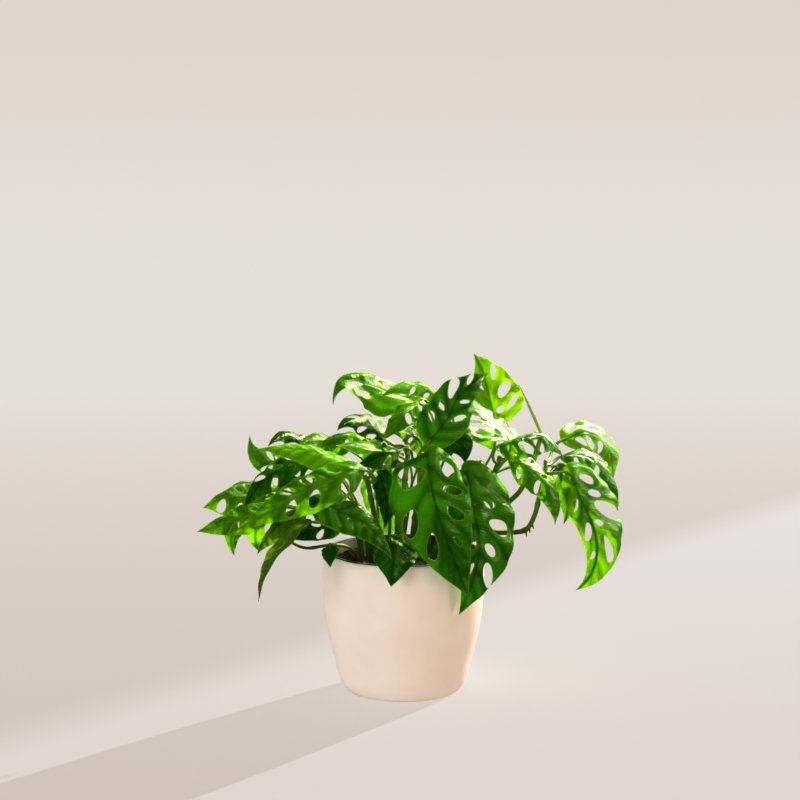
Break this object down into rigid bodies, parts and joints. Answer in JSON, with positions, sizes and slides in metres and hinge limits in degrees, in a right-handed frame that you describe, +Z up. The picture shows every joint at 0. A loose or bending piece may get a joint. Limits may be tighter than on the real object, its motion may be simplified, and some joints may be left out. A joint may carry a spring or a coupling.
{
  "type": "potted monstera adansonii",
  "caption": "Potted trailing house plant: perforated ovate leaves on thin stalks over short vine stems, rooted in soil in a nursery pot inside a round clay pot.",
  "frame": {"origin": "centre of the flat underside of the outer pot, where it stands on a table", "axes": "+Z up along the pot's axis, -Y towards the side of the plant that faces the camera, +X to the right in that view"},
  "size_m": [0.3875, 0.2385, 0.3111],
  "materials": {
    "pale_clay": "matt, smooth, unglazed",
    "black_plastic": "matt",
    "potting_soil": "crumbly, damp soil",
    "green_stem": "smooth plant skin, slightly waxy",
    "leaf_green": "waxy leaf",
    "leaf_dark": "waxy mature leaf",
    "leaf_lime": "waxy young leaf, lets light through",
    "leaf_spear": "waxy rolled leaf"
  },
  "bodies": {
    "root": {"pot": "pale_clay", "nursery_pot": "black_plastic", "soil": "potting_soil", "vine_centre": "green_stem", "vine_left": "green_stem", "vine_back": "green_stem", "vine_right": "green_stem", "vine_right_tall": "green_stem", "vine_right_low": "green_stem", "vine_left_runner": "green_stem", "leaf_front_centre": "leaf_green", "leaf_front_right": "leaf_green", "leaf_top_centre": "leaf_green", "leaf_far_right_front": "leaf_green", "leaf_left_long": "leaf_green", "leaf_front_left_dark": "leaf_dark", "leaf_top_bright": "leaf_lime", "leaf_glossy_white": "leaf_green", "leaf_right_mid": "leaf_dark", "leaf_far_right_top": "leaf_lime", "leaf_far_right_arch": "leaf_green", "leaf_right_folded": "leaf_green", "leaf_right_inner": "leaf_green", "leaf_top_left_curl": "leaf_green", "leaf_top_fingers": "leaf_lime", "leaf_upper_left_fold": "leaf_green", "leaf_left_arch": "leaf_green", "leaf_left_glossy": "leaf_green", "leaf_new_small": "leaf_lime", "leaf_centre_left": "leaf_green", "leaf_left_yellow": "leaf_lime", "leaf_left_hook": "leaf_green", "leaf_left_sweep": "leaf_dark", "leaf_far_left_tip": "leaf_green", "leaf_far_left_point": "leaf_green", "leaf_far_left_down": "leaf_green", "leaf_far_left_pale": "leaf_lime", "leaf_left_backlit": "leaf_lime", "leaf_low_left_pale": "leaf_green", "leaf_low_left_thin": "leaf_dark", "leaf_low_left_flat": "leaf_dark", "leaf_centre_left_tip": "leaf_dark", "leaf_rim_small": "leaf_dark", "leaf_rim_blunt": "leaf_dark", "leaf_centre_dark": "leaf_dark", "leaf_right_small": "leaf_dark", "leaf_olive_mid": "leaf_dark", "leaf_left_back_a": "leaf_dark", "leaf_left_back_b": "leaf_green", "leaf_back_round": "leaf_dark", "leaf_back_left": "leaf_green", "leaf_back_centre": "leaf_green", "leaf_back_right": "leaf_green", "leaf_back_far_right": "leaf_green", "leaf_back_far_left": "leaf_green", "leaf_back_low": "leaf_green", "leaf_back_low_right": "leaf_dark", "spear_leaf": "leaf_spear"}
  },
  "joints": []
}
